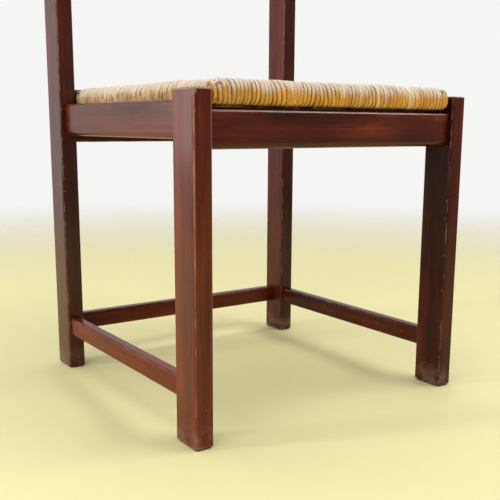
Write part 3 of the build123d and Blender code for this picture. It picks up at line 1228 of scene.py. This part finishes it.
        samples = {"Curve": given["Geometry"], "Length": given["Sample Length"]}
        paths = graph.add("GeometryNodeResampleCurve", samples, mode="LENGTH").outputs[0]
        paths = graph.store(paths, "strand_tint", chance)
        paths = graph.store(paths, "strand_along", along)
        noise = {"Vector": place, "W": graph.product(chance, self.swell_spread), "Scale": self.swell_scale,
                 "Detail": 2.0}
        swell = graph.add("ShaderNodeTexNoise", noise, noise_dimensions="4D").outputs[0]
        own = graph.math("FRACT", graph.product(chance, self.thickness_spread))
        own = graph.math("MULTIPLY_ADD", own, self.thickness_range, self.thinnest)
        radius = graph.product(own, graph.sway(swell, given["Radius Variation"], 1.0), given["Strand Radius"])
        turn = graph.product(along, given["Turns per Metre"], math.tau)
        tilt = graph.math("MULTIPLY_ADD", chance, self.turn_spread, turn)
        paths = graph.add("GeometryNodeSetCurveTilt", {"Curve": paths, "Tilt": tilt}).outputs[0]

        circle = {"Resolution": given["Profile Points"], "Radius": 1.0}
        ring = graph.add("GeometryNodeCurvePrimitiveCircle", circle).outputs[0]
        ring = graph.store(ring, "strand_around", around)
        lobes = graph.math("COSINE", graph.product(around, self.plies * math.tau))
        bulge = graph.math("MULTIPLY_ADD", lobes, given["Ply Depth"], 1.0)
        spread = graph.add("ShaderNodeVectorMath", {0: place, "Scale": bulge}, operation="SCALE").outputs[0]
        ring = graph.add("GeometryNodeSetPosition", {"Geometry": ring, "Position": spread}).outputs[0]

        sweep = {"Curve": paths, "Profile Curve": ring, "Scale": radius, "Fill Caps": True}
        cords = graph.add("GeometryNodeCurveToMesh", sweep).outputs[0]
        cords = graph.add("GeometryNodeSetShadeSmooth", {"Geometry": cords}).outputs[0]
        normal = graph.add("GeometryNodeInputNormal").outputs[0]
        flank = graph.math("ABSOLUTE", graph.vector("DOT_PRODUCT", normal, given["Side Direction"]))
        return graph.end(graph.store(cords, "strand_flank", flank))

    def paths(self, side: WeaveSide, rng: random.Random) -> bpy.types.Object:
        """Curve object with the path of every strand of a side.

        Args:
            side: Side of the seat.
            rng: Source of the small faults of hand work.

        Returns:
            The curve object, linked to the scene.
        """
        curve = bpy.data.curves.new(f"rush_paths_{side.name}", "CURVE")
        curve.dimensions = "3D"
        run = side.length - 2 * self.first_strand
        count = round(run / self.pitch)
        leans = tuple(Drift(rng, lean, side.length) for lean in (self.lean, self.foot_lean))
        for number in range(count + 1):
            points = self.strand(side, self.first_strand + number * run / count, leans, rng)
            spline = curve.splines.new("POLY")
            spline.points.add(len(points) - 1)
            for target, point in zip(spline.points, points):
                target.co = (*point, 1.0)
        return placed(curve.name, curve)

    def build(self) -> None:
        """Make the strands of all four sides and let them stand for the CAD panels."""
        tree = self.strand_tree()
        material = self.finish.material("dry_rush", self.seat)
        rng = random.Random(self.seed)
        for number, side in enumerate(self.sides):
            sizes = {"Strand Radius": self.strand_radius * side.fullness,
                     "Radius Variation": self.radius_variation,
                     "Turns per Metre": self.turns_per_metre, "Ply Depth": self.ply_depth,
                     "Sample Length": self.sample, "Profile Points": self.profile_points,
                     "Side Direction": side.along, "Seed": self.seed + number, "Material": material}
            weave = grown(self.paths(side, rng), tree, sizes, f"rush_weave_{side.name}")
            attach(weave, "seat")
            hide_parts(f"rush_{side.name}")


def dress_seat_core() -> None:
    """Give the wooden frame and the packing inside the rush their finish."""
    for name, grain in (("front", Axis.X), ("rear", Axis.X), ("left", Axis.Y), ("right", Axis.Y)):
        put_on(f"seat_frame_{name}", bare_wood(grain).material(f"bare_wood_seat_{name}"))
    put_on("seat_packing", loose_packing().material("rush_packing"))


@dataclass
class Studio:
    """Plain floor, soft light and the camera."""

    floor_size: float = 60.0
    eye: Triple = (-0.6702, -0.9802, 0.3882)
    yaw: float = 0.611
    pitch: float = -0.191
    roll: float = 0.006
    focal_pixels: float = 772.7
    image_pixels: float = 500.0
    middle_pixel: tuple[float, float] = (255.0, 274.9)
    sensor_width: float = 36.0
    sky: Colour = (1.0, 0.995, 0.985, 1.0)
    sky_behind: float = 0.92
    sky_front: float = 0.34
    sky_turn: Band = (0.0, 0.5)

    def floor(self) -> None:
        """Add the floor, which is not part of the chair."""
        half = self.floor_size / 2
        corners = [(-half, -half, 0), (half, -half, 0), (half, half, 0), (-half, half, 0)]
        mesh = bpy.data.meshes.new("floor")
        mesh.from_pydata(corners, [], [(0, 1, 2, 3)])
        mesh.materials.append(PaleFloor().material("pale_floor"))
        obj = placed("floor", mesh)

    def world(self) -> None:
        """Even pale surroundings, lighter behind the chair than in front of it."""
        world = bpy.data.worlds.new("studio")
        bpy.context.scene.world = world
        world.use_nodes = True
        world.node_tree.nodes.clear()
        graph = NodeGraph(world.node_tree)
        look = graph.add("ShaderNodeTexCoord").outputs["Generated"]
        heading = graph.vector("DOT_PRODUCT", look, (math.sin(self.yaw), math.cos(self.yaw), 0.0))
        level = graph.step(heading, *self.sky_turn, self.sky_front, self.sky_behind)
        back = graph.add("ShaderNodeBackground", {"Color": self.sky, "Strength": level})
        graph.add("ShaderNodeOutputWorld", {"Surface": back.outputs[0]})

    def lamp(self, name: str, place: Triple, target: Triple, size: Band, radiance: float) -> None:
        """Add a soft panel that looks at a point.

        Args:
            name: Name of the lamp.
            place: Where it hangs.
            target: Point it looks at.
            size: Width and height of the panel.
            radiance: Brightness of the panel, where white paper in plain light is 1.
        """
        data = bpy.data.lights.new(name, "AREA")
        data.shape = "RECTANGLE"
        data.size, data.size_y = size
        data.energy = radiance * math.pi * size[0] * size[1]
        turn = (Vector(target) - Vector(place)).to_track_quat("-Z", "Y")
        placed(name, data).matrix_world = Matrix.Translation(place) @ turn.to_matrix().to_4x4()

    def lights(self) -> None:
        """Add the overhead panel, the key at the front right, and the panels and strip at the left."""
        self.lamp("overhead", (-0.2, -0.1, 2.6), (0.0, 0.0, 0.3), (2.2, 2.2), 1.2)
        self.lamp("front_key", (1.35, -1.30, 1.9), (0.0, -0.2, 0.35), (1.7, 0.20), 24.0)
        self.lamp("left_panel", (-2.1, -1.1, 1.4), (0.0, 0.0, 0.3), (1.5, 1.5), 2.4)
        self.lamp("left_strip", (-2.35, 0.6, 0.9), (-0.2, -0.2, 0.35), (0.26, 1.6), 16.0)
        self.lamp("back_left", (-1.5, 1.6, 0.75), (-0.2, -0.2, 0.4), (0.5, 1.0), 3.0)

    def camera(self) -> None:
        """Add the camera at the photograph's place and make it the scene's own."""
        data = bpy.data.cameras.new("camera")
        data.sensor_fit = "HORIZONTAL"
        data.sensor_width = self.sensor_width
        data.lens = self.focal_pixels / self.image_pixels * self.sensor_width
        data.shift_x = 0.5 - self.middle_pixel[0] / self.image_pixels
        data.shift_y = self.middle_pixel[1] / self.image_pixels - 0.5
        heading = Matrix.Rotation(-self.yaw, 4, "Z")
        tilt = Matrix.Rotation(math.pi / 2 + self.pitch, 4, "X")
        obj = placed("camera", data)
        obj.matrix_world = Matrix.Translation(self.eye) @ heading @ tilt @ Matrix.Rotation(self.roll, 4, "Z")
        bpy.context.scene.camera = obj

    def build(self) -> None:
        """Set up the whole studio."""
        bpy.context.scene.view_settings.view_transform = "Standard"
        self.floor()
        self.world()
        self.lights()
        self.camera()


def main() -> None:
    """Build and dress the chair, then set up the studio."""
    logging.basicConfig(level=logging.INFO, format="%(message)s")
    ChairFrame().dress()
    BlockScrews().build()
    dress_seat_core()
    RushWeave().build()
    Studio().build()


if __name__ == "__main__":
    main()
